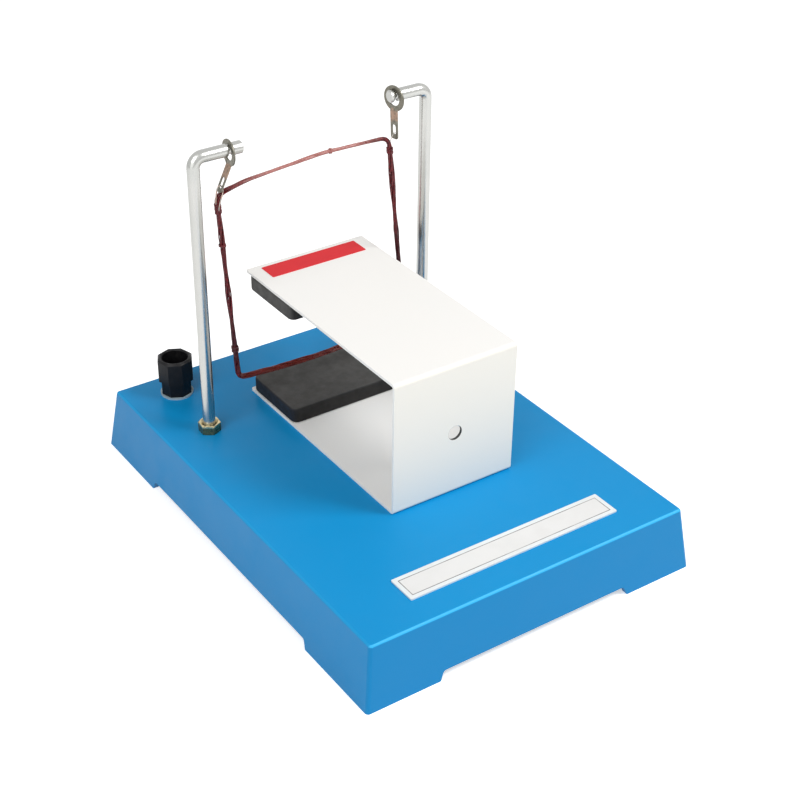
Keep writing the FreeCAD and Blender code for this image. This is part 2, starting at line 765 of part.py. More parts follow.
# Jumper wires: from each binding post's tag to its post's tag, under the base
def build_jumper(name, sign):
    side = -1 if sign == "-" else 1
    levels = (f"{PLATE_UNDER} - lock_washer_thickness - tag_thickness / 2",
              f"{POST_UNDER} - post_washer_thickness - tag_thickness / 2")
    ends = (f"{STUD_X} - tag_length - solder_gap", f"{POST_X} - tag_length - solder_gap")
    route = []
    for end, place, height in zip(ends, (STUD_Y, POST_Y), levels):
        near = FreeCAD.Vector(side * measure(end), measure(place), measure(height))
        far = near - FreeCAD.Vector(side * measure("jumper_reach"), 0, 0)
        route.append((near, far))
    points = [route[0][0], route[0][1], route[1][1], route[1][0]]
    jumper = doc.addObject("Part::Feature", name)
    jumper.Label = name
    jumper.Shape = wire_tube(points, measure("jumper_radius"), measure("jumper_bend"))


def build_side(side, sign, turn):
    # Everything that stands once on the left and once on the right
    build_post(f"post_{side}", sign, side, turn)
    rod_hole = "rod_radius + running_clearance"
    post_stack = (
        (nut(f"post_nut_{side}", "post_nut_flats", "post_nut_height", rod_hole),
         "base_height", "post_nut_turn"),
        (washer(f"post_washer_{side}", "rod_radius + hole_clearance", "post_washer_radius",
                "post_washer_thickness"), f"{POST_UNDER} - post_washer_thickness", "0"),
        (tag(f"post_tag_{side}", "rod_radius + hole_clearance"),
         f"{POST_UNDER} - post_washer_thickness - tag_thickness", turn),
        (nut(f"post_lock_nut_{side}", "post_nut_flats", "post_nut_height", rod_hole),
         f"{POST_UNDER} - post_washer_thickness - tag_thickness - post_nut_height", "0"),
    )
    for piece, height, angle in post_stack:
        put(piece, f"{sign}{POST_X}", POST_Y, height, angle)

    stud_hole = "stud_radius + running_clearance"
    under = f"{PLATE_UNDER} - lock_washer_thickness"
    binding_stack = (
        (washer(f"binding_washer_{side}", stud_hole, "seat_washer_radius", "seat_washer_thickness"),
         "base_height", "0"),
        (build_stud(f"binding_stud_{side}"), "base_height", "0"),
        (build_collar(f"binding_collar_{side}"), "base_height + seat_washer_thickness", f"{sign}cap_turn"),
        (washer(f"binding_insert_{side}", stud_hole, "insert_radius", "insert_height"),
         f"base_height + {CAP_SEAT}", "0"),
        (build_cap(f"binding_cap_{side}"), f"base_height + {CAP_SEAT}", f"{sign}cap_turn"),
        (washer(f"binding_lock_washer_{side}", "stud_radius + hole_clearance", "lock_washer_radius",
                "lock_washer_thickness"), under, "0"),
        (tag(f"binding_tag_{side}", "stud_radius + hole_clearance"), f"{under} - tag_thickness", turn),
        (nut(f"binding_nut_{side}", "binding_nut_flats", "binding_nut_height", stud_hole),
         f"{under} - tag_thickness - binding_nut_height", "0"),
    )
    for piece, height, angle in binding_stack:
        put(piece, f"{sign}{STUD_X}", STUD_Y, height, angle)
    build_jumper(f"jumper_wire_{side}", sign)
    build_lug(f"hanger_lug_{side}", sign, side, turn)


build_base()
put(plate("label_plate", "label_width", "label_depth", "label_thickness", "label_corner"),
    "label_shift", "label_front_margin - base_depth / 2", "base_height")
SIDES = (("left", "-", "0"), ("right", "", "180"))
for side, sign, turn in SIDES:
    build_side(side, sign, turn)
build_yoke()
build_magnet("magnet_lower", "base_height + yoke_plate")
build_magnet("magnet_upper", "base_height + yoke_height - yoke_plate - magnet_thickness")
put(plate("pole_strip", "strip_width", "strip_depth", "strip_thickness", "strip_corner"),
    "yoke_shift", f"{YOKE_REAR} - strip_setback - strip_depth / 2", "base_height + yoke_height")
winding = build_winding()
build_wraps()
for side, sign, turn in SIDES:
    build_lead(f"coil_lead_{side}", sign, side, winding)
doc.recompute()

# Sub-parts that are written out; the others are the steps that make them
nodes = ["base_shell", "label_plate", "yoke", "magnet_lower", "magnet_upper", "pole_strip",
         "coil_winding", "coil_wraps"]
for stem in ("post", "post_nut", "post_washer", "post_tag", "post_lock_nut", "binding_washer", "binding_stud",
             "binding_collar", "binding_insert", "binding_cap", "binding_lock_washer", "binding_tag",
             "binding_nut", "jumper_wire", "hanger_lug", "coil_lead"):
    nodes += [f"{stem}_{side}" for side, sign, turn in SIDES]

for thing in doc.Objects:
    if "Invalid" in thing.State or "Error" in thing.State:
        raise RuntimeError(f"{thing.Name} failed: {thing.State}")
os.makedirs("parts", exist_ok=True)
for node in nodes:
    shape = doc.getObjectsByLabel(node)[0].Shape
    if shape.isNull() or not shape.isValid():
        raise RuntimeError(f"{node} has no valid shape")
for node in nodes:
    doc.getObjectsByLabel(node)[0].Shape.exportStep(f"parts/{node}.step")
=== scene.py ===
# Looks of the ampere force apparatus. Metres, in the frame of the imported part.
import bpy, json, math, random
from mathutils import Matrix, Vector


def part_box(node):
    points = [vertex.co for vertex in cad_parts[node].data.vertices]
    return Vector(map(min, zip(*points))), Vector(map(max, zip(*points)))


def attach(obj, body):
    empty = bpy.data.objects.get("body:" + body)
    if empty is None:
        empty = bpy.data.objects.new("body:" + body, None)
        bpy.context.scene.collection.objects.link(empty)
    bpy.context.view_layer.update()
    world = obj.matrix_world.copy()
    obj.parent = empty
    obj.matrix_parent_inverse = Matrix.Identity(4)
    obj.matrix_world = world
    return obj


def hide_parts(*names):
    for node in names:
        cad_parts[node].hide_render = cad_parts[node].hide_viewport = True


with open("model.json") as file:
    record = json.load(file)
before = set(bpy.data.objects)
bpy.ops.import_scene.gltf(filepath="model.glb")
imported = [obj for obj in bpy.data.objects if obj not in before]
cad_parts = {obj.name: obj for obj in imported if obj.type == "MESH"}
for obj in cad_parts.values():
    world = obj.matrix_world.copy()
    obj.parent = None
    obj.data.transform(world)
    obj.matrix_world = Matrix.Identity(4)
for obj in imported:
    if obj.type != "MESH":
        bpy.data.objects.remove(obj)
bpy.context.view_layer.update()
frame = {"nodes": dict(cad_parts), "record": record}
print("frame loaded")

studio = {
    "camPlace": (-0.29402, -0.43510, 0.38278),
    "camTurn": (57.5337, -0.5779, -34.3432),
    "lens": 71.768, "sensor": 36, "clip": (0.01, 20),
    "lamps": {
        "keyLamp": {"place": (0.58, -0.62, 0.95), "size": 0.45, "power": 9.6},
        "topLamp": {"place": (-0.72, -0.30, 0.92), "size": 0.7, "power": 5.6},
        "fillLamp": {"place": (-0.95, -0.55, 0.45), "size": 0.9, "power": 2.1},
    },
    "lampAim": (0, 0, 0.05),
    # the white room: how strongly it lights the object, and how bright it is to look at
    "roomLight": 0.325, "roomSight": 1.0,
    "floorSize": 6, "floorColour": (0.86, 0.86, 0.86), "floorLift": 0.53,
}


def setUpCamera():
    turn = [math.radians(angle) for angle in studio["camTurn"]]
    bpy.ops.object.camera_add(location=studio["camPlace"], rotation=turn)
    camera = bpy.context.object
    camera.data.sensor_width = studio["sensor"]
    camera.data.lens = studio["lens"]
    camera.data.clip_start, camera.data.clip_end = studio["clip"]
    bpy.context.scene.camera = camera
    bpy.context.scene.view_settings.view_transform = "Standard"


def hangLamps():
    for name, settings in studio["lamps"].items():
        bpy.ops.object.light_add(type="AREA", location=settings["place"])
        lamp = bpy.context.object
        lamp.name = name
        lamp.data.size = settings["size"]
        lamp.data.energy = settings["power"]
        gaze = Vector(studio["lampAim"]) - Vector(settings["place"])
        lamp.rotation_euler = gaze.to_track_quat("-Z", "Y").to_euler()


def seenDirectly(tree):
    # 1 where the camera, a mirror or glass looks at it, 0 for the light that falls on the object
    path = tree.nodes.new("ShaderNodeLightPath")
    seen = path.outputs["Is Camera Ray"]
    for ray in ("Is Glossy Ray", "Is Transmission Ray"):
        larger = tree.nodes.new("ShaderNodeMath")
        larger.operation = "MAXIMUM"
        tree.links.new(seen, larger.inputs[0])
        tree.links.new(path.outputs[ray], larger.inputs[1])
        seen = larger.outputs[0]
    return seen


def setUpWorld():
    world = bpy.context.scene.world or bpy.data.worlds.new("paleRoom")
    bpy.context.scene.world = world
    world.use_nodes = True
    tree = world.node_tree
    tree.nodes.clear()
    output = tree.nodes.new("ShaderNodeOutputWorld")
    mix = tree.nodes.new("ShaderNodeMixShader")
    tree.links.new(seenDirectly(tree), mix.inputs["Fac"])
    for place, strength in ((1, studio["roomLight"]), (2, studio["roomSight"])):
        white = tree.nodes.new("ShaderNodeBackground")
        white.inputs["Color"].default_value = (1, 1, 1, 1)
        white.inputs["Strength"].default_value = strength
        tree.links.new(white.outputs[0], mix.inputs[place])
    tree.links.new(mix.outputs[0], output.inputs["Surface"])


def layFloor():
    # a matt floor that glows a little where it is seen, so that it meets the white room
    bpy.ops.mesh.primitive_plane_add(size=studio["floorSize"], location=(0, 0, 0))
    floor = bpy.context.object
    floor.name = "studioFloor"
    paint = bpy.data.materials.new("floorPaint")
    paint.use_nodes = True
    tree = paint.node_tree
    tree.nodes.clear()
    output = tree.nodes.new("ShaderNodeOutputMaterial")
    matt = tree.nodes.new("ShaderNodeBsdfDiffuse")
    matt.inputs["Color"].default_value = (*studio["floorColour"], 1)
    glow = tree.nodes.new("ShaderNodeEmission")
    lift = tree.nodes.new("ShaderNodeMath")
    lift.operation = "MULTIPLY"
    lift.inputs[1].default_value = studio["floorLift"]
    tree.links.new(seenDirectly(tree), lift.inputs[0])
    tree.links.new(lift.outputs[0], glow.inputs["Strength"])
    both = tree.nodes.new("ShaderNodeAddShader")
    tree.links.new(matt.outputs[0], both.inputs[0])
    tree.links.new(glow.outputs[0], both.inputs[1])
    tree.links.new(both.outputs[0], output.inputs["Surface"])
    floor.data.materials.append(paint)


setUpCamera()
setUpWorld()
layFloor()
hangLamps()
print("camera, floor and lamps set")


# Finishes: each is a Principled shader, with patterns read in the object's own coordinates
class Finish:
    def __init__(self, name, colour, roughness, metallic=0.0, **sockets):
        self.material = bpy.data.materials.new(name)
        self.material.use_nodes = True
        self.tree = self.material.node_tree
        self.shader = self.tree.nodes["Principled BSDF"]
        self.coordinates = self.tree.nodes.new("ShaderNodeTexCoord")
        self.place = self.coordinates.outputs["Object"]
        self.shader.inputs["Base Color"].default_value = (*colour, 1)
        self.shader.inputs["Roughness"].default_value = roughness
        self.shader.inputs["Metallic"].default_value = metallic
        for socket, value in sockets.items():
            self.shader.inputs[socket.replace("_", " ")].default_value = value
        self.colour = None
        self.height = None

    def node(self, kind, **settings):
        node = self.tree.nodes.new(kind)
        for setting, value in settings.items():
            setattr(node, setting, value)
        return node

    def link(self, start, end):
        self.tree.links.new(start, end)

    def stretched(self, scale):
        mapping = self.node("ShaderNodeMapping")
        mapping.inputs["Scale"].default_value = scale
        self.link(self.place, mapping.inputs["Vector"])
        return mapping.outputs["Vector"]

    def noise(self, scale, detail=3, rough=0.5, place=None):
        noise = self.node("ShaderNodeTexNoise")
        noise.inputs["Scale"].default_value = scale
        noise.inputs["Detail"].default_value = detail
        noise.inputs["Roughness"].default_value = rough
        self.link(place or self.place, noise.inputs["Vector"])
        return noise.outputs["Fac"]

    def cells(self, scale):
        cells = self.node("ShaderNodeTexVoronoi")
        cells.inputs["Scale"].default_value = scale
        self.link(self.place, cells.inputs["Vector"])
        return cells.outputs["Distance"]

    def between(self, value, low, high, start, end):
        # goes from start to end while the value goes from low to high
        ramp = self.node("ShaderNodeMapRange", clamp=True)
        for socket, number in zip(("From Min", "From Max", "To Min", "To Max"), (low, high, start, end)):
            ramp.inputs[socket].default_value = number
        self.link(value, ramp.inputs["Value"])
        return ramp.outputs["Result"]

    def grow(self, value, low, high, most=1.0):
        return self.between(value, low, high, 0.0, most)

    def fade(self, value, low, high, most=1.0):
        return self.between(value, low, high, most, 0.0)

    def math(self, operation, *values):
        node = self.node("ShaderNodeMath", operation=operation)
        for socket, value in zip(node.inputs, values):
            if isinstance(value, (int, float)):
                socket.default_value = value
            else:
                self.link(value, socket)
        return node.outputs[0]

    def times(self, first, *others):
        for other in others:
            first = self.math("MULTIPLY", first, other)
        return first

    def axis(self, letter, vector=None):
        split = self.node("ShaderNodeSeparateXYZ")
        self.link(vector or self.place, split.inputs[0])
        return split.outputs[letter]

    def past(self, letter, start):
        # how far a spot lies past start along one of the object's axes
        return self.math("SUBTRACT", self.axis(letter), start)

    def facing(self, letter):
        # how far the surface faces along one of the object's axes, -1 to 1
        return self.axis(letter, self.coordinates.outputs["Normal"])

    def tint(self, amount, colour):
        # lays a colour over what is there, by amount
        mix = self.node("ShaderNodeMix", data_type="RGBA")
        self.link(amount, mix.inputs["Factor"])
        if self.colour is None:
            mix.inputs["A"].default_value = self.shader.inputs["Base Color"].default_value
        else:
            self.link(self.colour, mix.inputs["A"])
        mix.inputs["B"].default_value = (*colour, 1)
        self.colour = mix.outputs["Result"]
        self.link(self.colour, self.shader.inputs["Base Color"])

    def cloud(self, colour, scale, low, high, most, detail=4):
        # soft patches of another shade
        self.tint(self.grow(self.noise(scale, detail), low, high, most), colour)

    def vary(self, value, low, high, least, most):
        self.link(self.between(value, low, high, least, most), self.shader.inputs["Roughness"])

    def gloss(self, scale, least, most, low=0.3, detail=3):
        # patches that are more or less rough
        self.vary(self.noise(scale, detail), low, 0.7, least, most)

    def bump(self, value, depth, strength):
        bump = self.node("ShaderNodeBump")
        bump.inputs["Strength"].default_value = strength
        bump.inputs["Distance"].default_value = depth
        self.link(value, bump.inputs["Height"])
        if self.height is not None:
            self.link(self.height, bump.inputs["Normal"])
        self.height = bump.outputs["Normal"]
        self.link(self.height, self.shader.inputs["Normal"])

    def grain(self, scale, depth, strength, detail=2, rough=0.5):
        self.bump(self.noise(scale, detail, rough), depth, strength)


def makeBasePlastic():
    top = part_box("base_shell")[1].z
    finish = Finish("basePlastic", (0.002, 0.27, 0.60), 0.36, Specular_IOR_Level=0.2)
    finish.cloud((0.002, 0.24, 0.55), scale=18, low=0.35, high=0.7, most=0.35)
    # the drafted walls are tinted darker than the top: painted shade
    tilt = finish.facing("Z")
    finish.tint(finish.fade(tilt, 0.3, 0.6), (0.003, 0.222, 0.515))
    # the rounded upper rim is tinted a lighter blue, most of all in front: a painted highlight
    rounded = finish.times(finish.grow(tilt, 0.28, 0.45), finish.fade(tilt, 0.93, 0.985))
    rim = finish.grow(finish.axis("Z"), top - 0.003, top - 0.002, most=0.75)
    front = finish.between(finish.facing("Y"), -0.3, -0.1, 1.0, 0.25)
    finish.tint(finish.times(rounded, rim, front), (0.05, 0.50, 0.88))
    finish.gloss(scale=90, least=0.34, most=0.44)
    finish.grain(scale=2600, depth=0.00003, strength=0.5)
    finish.grain(scale=60, depth=0.0003, strength=0.12, detail=3)
    return finish.material


# The plate's printed frame: how far in from the edge, how wide, and how soft its inner side is
labelFrame = {"margin": 0.0019, "line": 0.00034, "soft": 0.0002}


def makeLabelSheet():
    low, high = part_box("label_plate")
    middle, half = (low + high) / 2, (high - low) / 2
    margin, line, soft = labelFrame["margin"], labelFrame["line"], labelFrame["soft"]
    finish = Finish("labelSheet", (0.75, 0.745, 0.735), 0.42)
    x = finish.math("ABSOLUTE", finish.past("X", middle.x))
    y = finish.math("ABSOLUTE", finish.past("Y", middle.y))
    # distance inside the frame line, the smaller of the two ways
    inside = finish.math("MINIMUM", finish.math("SUBTRACT", half.x - margin, x),
                         finish.math("SUBTRACT", half.y - margin, y))
    finish.tint(finish.fade(inside, -soft, soft), (0.76, 0.80, 0.81))
    away = finish.math("ABSOLUTE", inside)
    finish.tint(finish.fade(away, line * 0.35, line * 0.65), (0.16, 0.15, 0.15))
    finish.cloud((0.70, 0.695, 0.68), scale=120, low=0.45, high=0.7, most=0.5)
    finish.grain(scale=900, depth=0.00002, strength=0.3)
    finish.gloss(scale=140, least=0.36, most=0.5)
    return finish.material


# The wall of the web's hole: past its radius, and past the web's outer face, from and to
holeWall = {"radius": (0.00004, 0.00014), "depth": (0.0017, 0.0022)}


def makeYokePaint():
    hole = next(mount for mount in frame["record"]["mounts"] if mount["name"] == "web_hole")
    radius = hole["dims"]["r_mm"] / 1000
    holeX, webFace, holeZ = hole["pos_m"]
    finish = Finish("yokePaint", (0.87, 0.855, 0.825), 0.52, Specular_IOR_Level=0.22)
    finish.cloud((0.84, 0.84, 0.82), scale=26, low=0.4, high=0.75, most=0.4)
    # the paint on the web is a little yellower
    finish.tint(finish.fade(finish.facing("Y"), -0.9, -0.5), (0.885, 0.852, 0.775))
    # the wall of the hole in the web is painted near black: painted shade in the hole
    aside, above = finish.past("X", holeX), finish.past("Z", holeZ)
    away = finish.math("SQRT", finish.math("ADD", finish.times(aside, aside), finish.times(above, above)))
    wall = finish.fade(away, *[radius + way for way in holeWall["radius"]])
    web = finish.fade(finish.axis("Y"), *[webFace + way for way in holeWall["depth"]])
    finish.tint(finish.times(wall, web), (0.07, 0.07, 0.065))
    finish.grain(scale=1500, depth=0.00003, strength=0.35)
    finish.grain(scale=110, depth=0.0002, strength=0.12)
    return finish.material


def makeFerrite():
    finish = Finish("ferrite", (0.066, 0.064, 0.061), 0.62, Specular_IOR_Level=0.22)
    patches = finish.grow(finish.noise(240, detail=5, rough=0.7), 0.5, 0.75, most=0.4)
    finish.tint(patches, (0.085, 0.084, 0.082))
    finish.tint(finish.fade(finish.cells(900), 0.0, 0.16, most=0.4), (0.16, 0.16, 0.155))
    # painted shade: the lower block is darker round its sides, under the upper arm, and both blocks are
    # darker on the faces towards the web
    gapLow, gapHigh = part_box("magnet_lower")[1].z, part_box("magnet_upper")[0].z
    upright = finish.fade(finish.math("ABSOLUTE", finish.facing("Z")), 0.55, 0.9)
    lower = finish.fade(finish.axis("Z"), gapLow, gapHigh, most=0.92)
    finish.tint(finish.times(upright, lower), (0.014, 0.014, 0.018))
    # painted shade on the faces towards the web, inside the yoke
    finish.tint(finish.fade(finish.facing("Y"), -0.9, -0.5, most=0.9), (0.016, 0.015, 0.014))
    finish.grain(scale=1300, depth=0.00008, strength=0.6, detail=4, rough=0.7)
    finish.gloss(scale=300, least=0.5, most=0.75, low=0.35, detail=4)
    return finish.material


def makePoleMark():
    finish = Finish("poleMark", (0.68, 0.028, 0.036), 0.5, Specular_IOR_Level=0.15)
    finish.cloud((0.60, 0.026, 0.034), scale=160, low=0.4, high=0.7, most=0.5)
    finish.grain(scale=1800, depth=0.00002, strength=0.5)
    return finish.material


# Where the coil's colour changes, from and to: heights, and places across it. The darker part's height rises
# by the slant for each metre to the right.
coilTones = {
    "bottom": (0.046, 0.050), "top": (0.122, 0.127), "left": (-0.038, -0.020), "right": (0.018, 0.032),
    "aged": (0.080, 0.088), "slant": 0.22, "aboveBottom": (0.050, 0.056),
}


def makeEnamelledWire():
    finish = Finish("enamelledWire", (0.065, 0.003, 0.006), 0.3,
                    Specular_IOR_Level=0.3, Coat_Weight=0.15, Coat_Roughness=0.15)
    finish.cloud((0.19, 0.010, 0.014), scale=900, low=0.35, high=0.7, most=0.9, detail=3)
    # the side along the bottom is browner, the thin one along the top paler
    across, height = finish.axis("X"), finish.axis("Z")
    finish.tint(finish.fade(height, *coilTones["bottom"], most=0.6), (0.20, 0.028, 0.016))
    middle = finish.times(finish.grow(across, *coilTones["left"]), finish.fade(across, *coilTones["right"]))
    top = finish.grow(height, *coilTones["top"], most=0.85)
    finish.tint(finish.times(middle, top), (0.44, 0.175, 0.155))
    # the lower half of both upright sides is darker, the right one further up
    slanted = finish.math("SUBTRACT", height, finish.times(across, coilTones["slant"]))
    aged = finish.times(finish.fade(slanted, *coilTones["aged"], most=0.75),
                        finish.grow(height, *coilTones["aboveBottom"]))
    finish.tint(aged, (0.040, 0.003, 0.004))
    finish.gloss(scale=1500, least=0.22, most=0.4)
    return finish.material


def makeBareCopper():
    # tinned where it was soldered, copper where the tin has gone
    finish = Finish("bareCopper", (0.40, 0.37, 0.34), 0.36, metallic=1)
    finish.cloud((0.46, 0.24, 0.17), scale=700, low=0.45, high=0.7, most=0.8, detail=3)
    finish.gloss(scale=1500, least=0.28, most=0.46)
    return finish.material


def makeBrightRod():
    finish = Finish("brightRod", (0.52, 0.52, 0.50), 0.22, metallic=1)
    # fine lines run along the rod
    drawn = finish.noise(700, rough=0.6, place=finish.stretched((1, 1, 0.03)))
    finish.vary(drawn, low=0.3, high=0.7, least=0.2, most=0.31)
    finish.cloud((0.45, 0.46, 0.44), scale=60, low=0.4, high=0.7, most=0.6)
    finish.bump(drawn, depth=0.00001, strength=0.5)
    return finish.material


def makeTurnedMetal(name, colour, dull, roughness):
    finish = Finish(name, colour, roughness, metallic=1)
    finish.cloud(dull, scale=300, low=0.4, high=0.7, most=0.75, detail=5)
    finish.gloss(scale=500, least=roughness * 0.75, most=roughness * 1.4)
    finish.grain(scale=2200, depth=0.00001, strength=0.6, detail=3)
    return finish.material


# The right lug's copper neck, from and to at each end, how ragged its ends are, and the
# step by which the left lug hangs lower, blended in over the middle of the object
lugTones = {"neckLow": (0.1388, 0.1400), "neckHigh": (0.1438, 0.1450), "ragged": 0.0008,
            "step": 0.0052, "middle": 0.001}


def makeTinnedLug():
    # dull tin on the ring and the tip, copper on the neck between them
    finish = Finish("tinnedLug", (0.21, 0.20, 0.165), 0.42, metallic=0.9)
    middle, rough = lugTones["middle"], lugTones["ragged"]
    step = finish.fade(finish.axis("X"), -middle, middle, most=lugTones["step"])
    height = finish.math("ADD", finish.axis("Z"), step)
    ragged = finish.math("ADD", height, finish.between(finish.noise(500), 0.3, 0.7, -rough, rough))
    neck = finish.times(finish.grow(ragged, *lugTones["neckLow"]), finish.fade(ragged, *lugTones["neckHigh"]))
    finish.tint(neck, (0.37, 0.25, 0.185))
    finish.cloud((0.12, 0.115, 0.09), scale=900, low=0.45, high=0.7, most=0.8)
    finish.gloss(scale=800, least=0.32, most=0.55, detail=4)
    finish.grain(scale=700, depth=0.00006, strength=0.4, detail=3)
    return finish.material


def makeNutBrass():
    # the nuts on the posts: pale brass on the top and rims, darker and browner down the sides as painted
    # shade
    low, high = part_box("post_nut_left")
    finish = Finish("nutBrass", (0.72, 0.62, 0.38), 0.26, metallic=0.95)
    side = finish.times(finish.fade(finish.axis("Z"), high.z - 0.0011, high.z - 0.0005),
                        finish.grow(finish.axis("Z"), low.z - 0.001, low.z - 0.0005))
    finish.tint(side, (0.20, 0.165, 0.09))
    finish.cloud((0.36, 0.27, 0.12), scale=700, low=0.45, high=0.7, most=0.7)
    finish.gloss(scale=500, least=0.2, most=0.4)
    finish.grain(scale=1500, depth=0.00002, strength=0.6, detail=3)
    return finish.material


def makeBlackPlastic():
    finish = Finish("blackPlastic", (0.005, 0.005, 0.006), 0.42, Specular_IOR_Level=0.2)
    finish.cloud((0.010, 0.010, 0.011), scale=350, low=0.45, high=0.75, most=0.6)
    finish.gloss(scale=500, least=0.3, most=0.5)
    finish.grain(scale=1800, depth=0.00003, strength=0.4)
    return finish.material


def makePaleWasher():
    finish = Finish("paleWasher", (0.36, 0.46, 0.50), 0.5)
    finish.cloud((0.28, 0.37, 0.41), scale=700, low=0.4, high=0.7, most=0.5)
    finish.grain(scale=1500, depth=0.00003, strength=0.5, detail=3)
    return finish.material


def makeWireJacket():
    finish = Finish("wireJacket", (0.50, 0.03, 0.025), 0.4)
    finish.cloud((0.42, 0.028, 0.022), scale=220, low=0.4, high=0.7, most=0.5, detail=3)
    finish.grain(scale=900, depth=0.00004, strength=0.4)
    return finish.material


finishes = {
    "base_plastic": makeBasePlastic(),
    "label_sheet": makeLabelSheet(),
    "yoke_paint": makeYokePaint(),
    "ferrite": makeFerrite(),
    "pole_mark": makePoleMark(),
    "enamelled_wire": makeEnamelledWire(),
    "bare_copper": makeBareCopper(),
    "bright_rod": makeBrightRod(),
    "brass": makeNutBrass(),
    "plated_steel": makeTurnedMetal("zincPlate", (0.62, 0.63, 0.64), (0.44, 0.45, 0.45), 0.32),
    "plated_stud": makeTurnedMetal("nickelStud", (0.64, 0.62, 0.56), (0.46, 0.44, 0.40), 0.24),
    "tinned_brass": makeTurnedMetal("tinnedTag", (0.62, 0.60, 0.55), (0.44, 0.40, 0.30), 0.36),
    "tinned_lug": makeTinnedLug(),
    "black_plastic": makeBlackPlastic(),
    "pale_washer": makePaleWasher(),
    "wire_jacket": makeWireJacket(),
}

# each CAD node wears the finish of its slot in the record
nodeSlots = {row["node"]: row["material_slot"] for row in frame["record"]["subparts"]}
for name, node in frame["nodes"].items():
    node.data.materials.clear()
    node.data.materials.append(finishes[nodeSlots[name]])
print("finishes on", len(frame["nodes"]), "nodes")


# Wire pieces: splines with a round section, turned into a mesh
def newWire(name, thickness, resolution):
    bpy.ops.object.select_all(action="DESELECT")
    bpy.ops.curve.primitive_nurbs_path_add(location=(0, 0, 0))
    wire = bpy.context.object
    wire.name = name
    wire.data.splines.clear()
    wire.data.bevel_depth = thickness / 2
    wire.data.bevel_resolution = resolution
    wire.data.resolution_u = 3
    wire.data.use_fill_caps = True
    return wire


def addSpline(wire, points, closed=False):
    spline = wire.data.splines.new("NURBS")
    spline.points.add(len(points) - 1)
    for point, spot in zip(spline.points, points):
        point.co = (*spot, 1)
    spline.order_u = 3
    spline.use_cyclic_u = closed
    spline.use_endpoint_u = not closed


def finishPiece(piece, body, slot, smooth=60, stands=()):
    # a finished piece: smooth where it should be, on its body, in its finish
    bpy.ops.object.select_all(action="DESELECT")
    piece.select_set(True)
    bpy.context.view_layer.objects.active = piece
    if piece.type == "CURVE":
        bpy.ops.object.convert(target="MESH")
    piece.data.materials.clear()
    piece.data.materials.append(finishes[slot])
    bpy.ops.object.shade_smooth_by_angle(angle=math.radians(smooth))
    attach(piece, body)
    if stands:
        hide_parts(*stands)


# Coil: loose strands of enamelled wire in a leaning rectangle with a bowed top
coil = {
    # the bundle's corners in its plane and the radius of each bend, in mm
    "corners": ((-37.5, 46.5), (-20.0, 45.2), (0.0, 44.7), (42.7, 46.4), (34.4, 133.2),
                (4.0, 133.8), (-30.0, 130.8), (-42.9, 128.0)),
    "bends": (3.0, 60.0, 60.0, 4.0, 4.0, 60.0, 30.0, 4.0),
    "plane": 0.049, "step": 0.0022,
    "strands": 20, "core": 5, "wire": 0.00047, "seed": 11,
    # on the way round, the strands twist, wander in waves and draw closer in pulses
    "twist": 7, "waves": 6, "wander": 0.4, "pulses": 11, "pulse": 0.06,
    # half the bundle's thickness as a multiple of the unit, at shares of the way round
    "girthUnit": 0.0012,
    "girth": ((0.0, 1.00), (0.06, 1.08), (0.14, 1.00), (0.22, 1.08), (0.26, 0.95), (0.30, 0.80),
              (0.34, 1.08), (0.37, 0.80), (0.40, 0.98), (0.43, 0.70), (0.46, 1.08), (0.485, 1.14),
              (0.51, 0.90), (0.56, 0.60), (0.62, 0.70), (0.68, 0.60), (0.74, 0.74), (0.77, 1.05),
              (0.79, 0.86), (0.82, 1.04), (0.86, 0.76), (0.895, 1.08), (0.93, 0.74), (0.96, 0.98),
              (1.0, 1.00)),
}


def coilLine():
    # points and outward directions round the coil, starting at the lower left corner
    corners = [Vector((x / 1000, 0, z / 1000)) for x, z in coil["corners"]]
    line = []
    for number, corner in enumerate(corners):
        back = (corners[number - 1] - corner).normalized()
        ahead = (corners[(number + 1) % len(corners)] - corner).normalized()
        half = back.angle(ahead) / 2
        radius = coil["bends"][number] / 1000
        reach = radius / math.tan(half)
        centre = corner + (back + ahead).normalized() * radius / math.sin(half)
        first, last = corner + back * reach - centre, corner + ahead * reach - centre
        turn = first.angle(last)
        steps = max(3, round(radius * turn / coil["step"]))
        for step in range(steps + 1):
            share = step / steps
            near, far = math.sin((1 - share) * turn), math.sin(share * turn)
            line.append(centre + (first * near + last * far) / math.sin(turn))
    dense = []
    for start, end in zip(line, line[1:] + line[:1]):
        pieces = max(1, round((end - start).length / coil["step"]))
        dense += [start.lerp(end, step / pieces) for step in range(pieces)]
    count = len(dense)
    outward = []
    for number in range(count):
        along = (dense[(number + 1) % count] - dense[number - 1]).normalized()
        outward.append(Vector((along.z, 0, -along.x)))
    return [point + Vector((0, coil["plane"], 0)) for point in dense], outward


def girthAt(share):
    # the bundle swells and narrows softly between the given shares
    for (start, low), (end, high) in zip(coil["girth"], coil["girth"][1:]):
        if share <= end:
            way = (share - start) / (end - start)
            return (low + (high - low) * (0.5 - 0.5 * math.cos(math.pi * way))) * coil["girthUnit"]
    return coil["girth"][-1][1] * coil["girthUnit"]


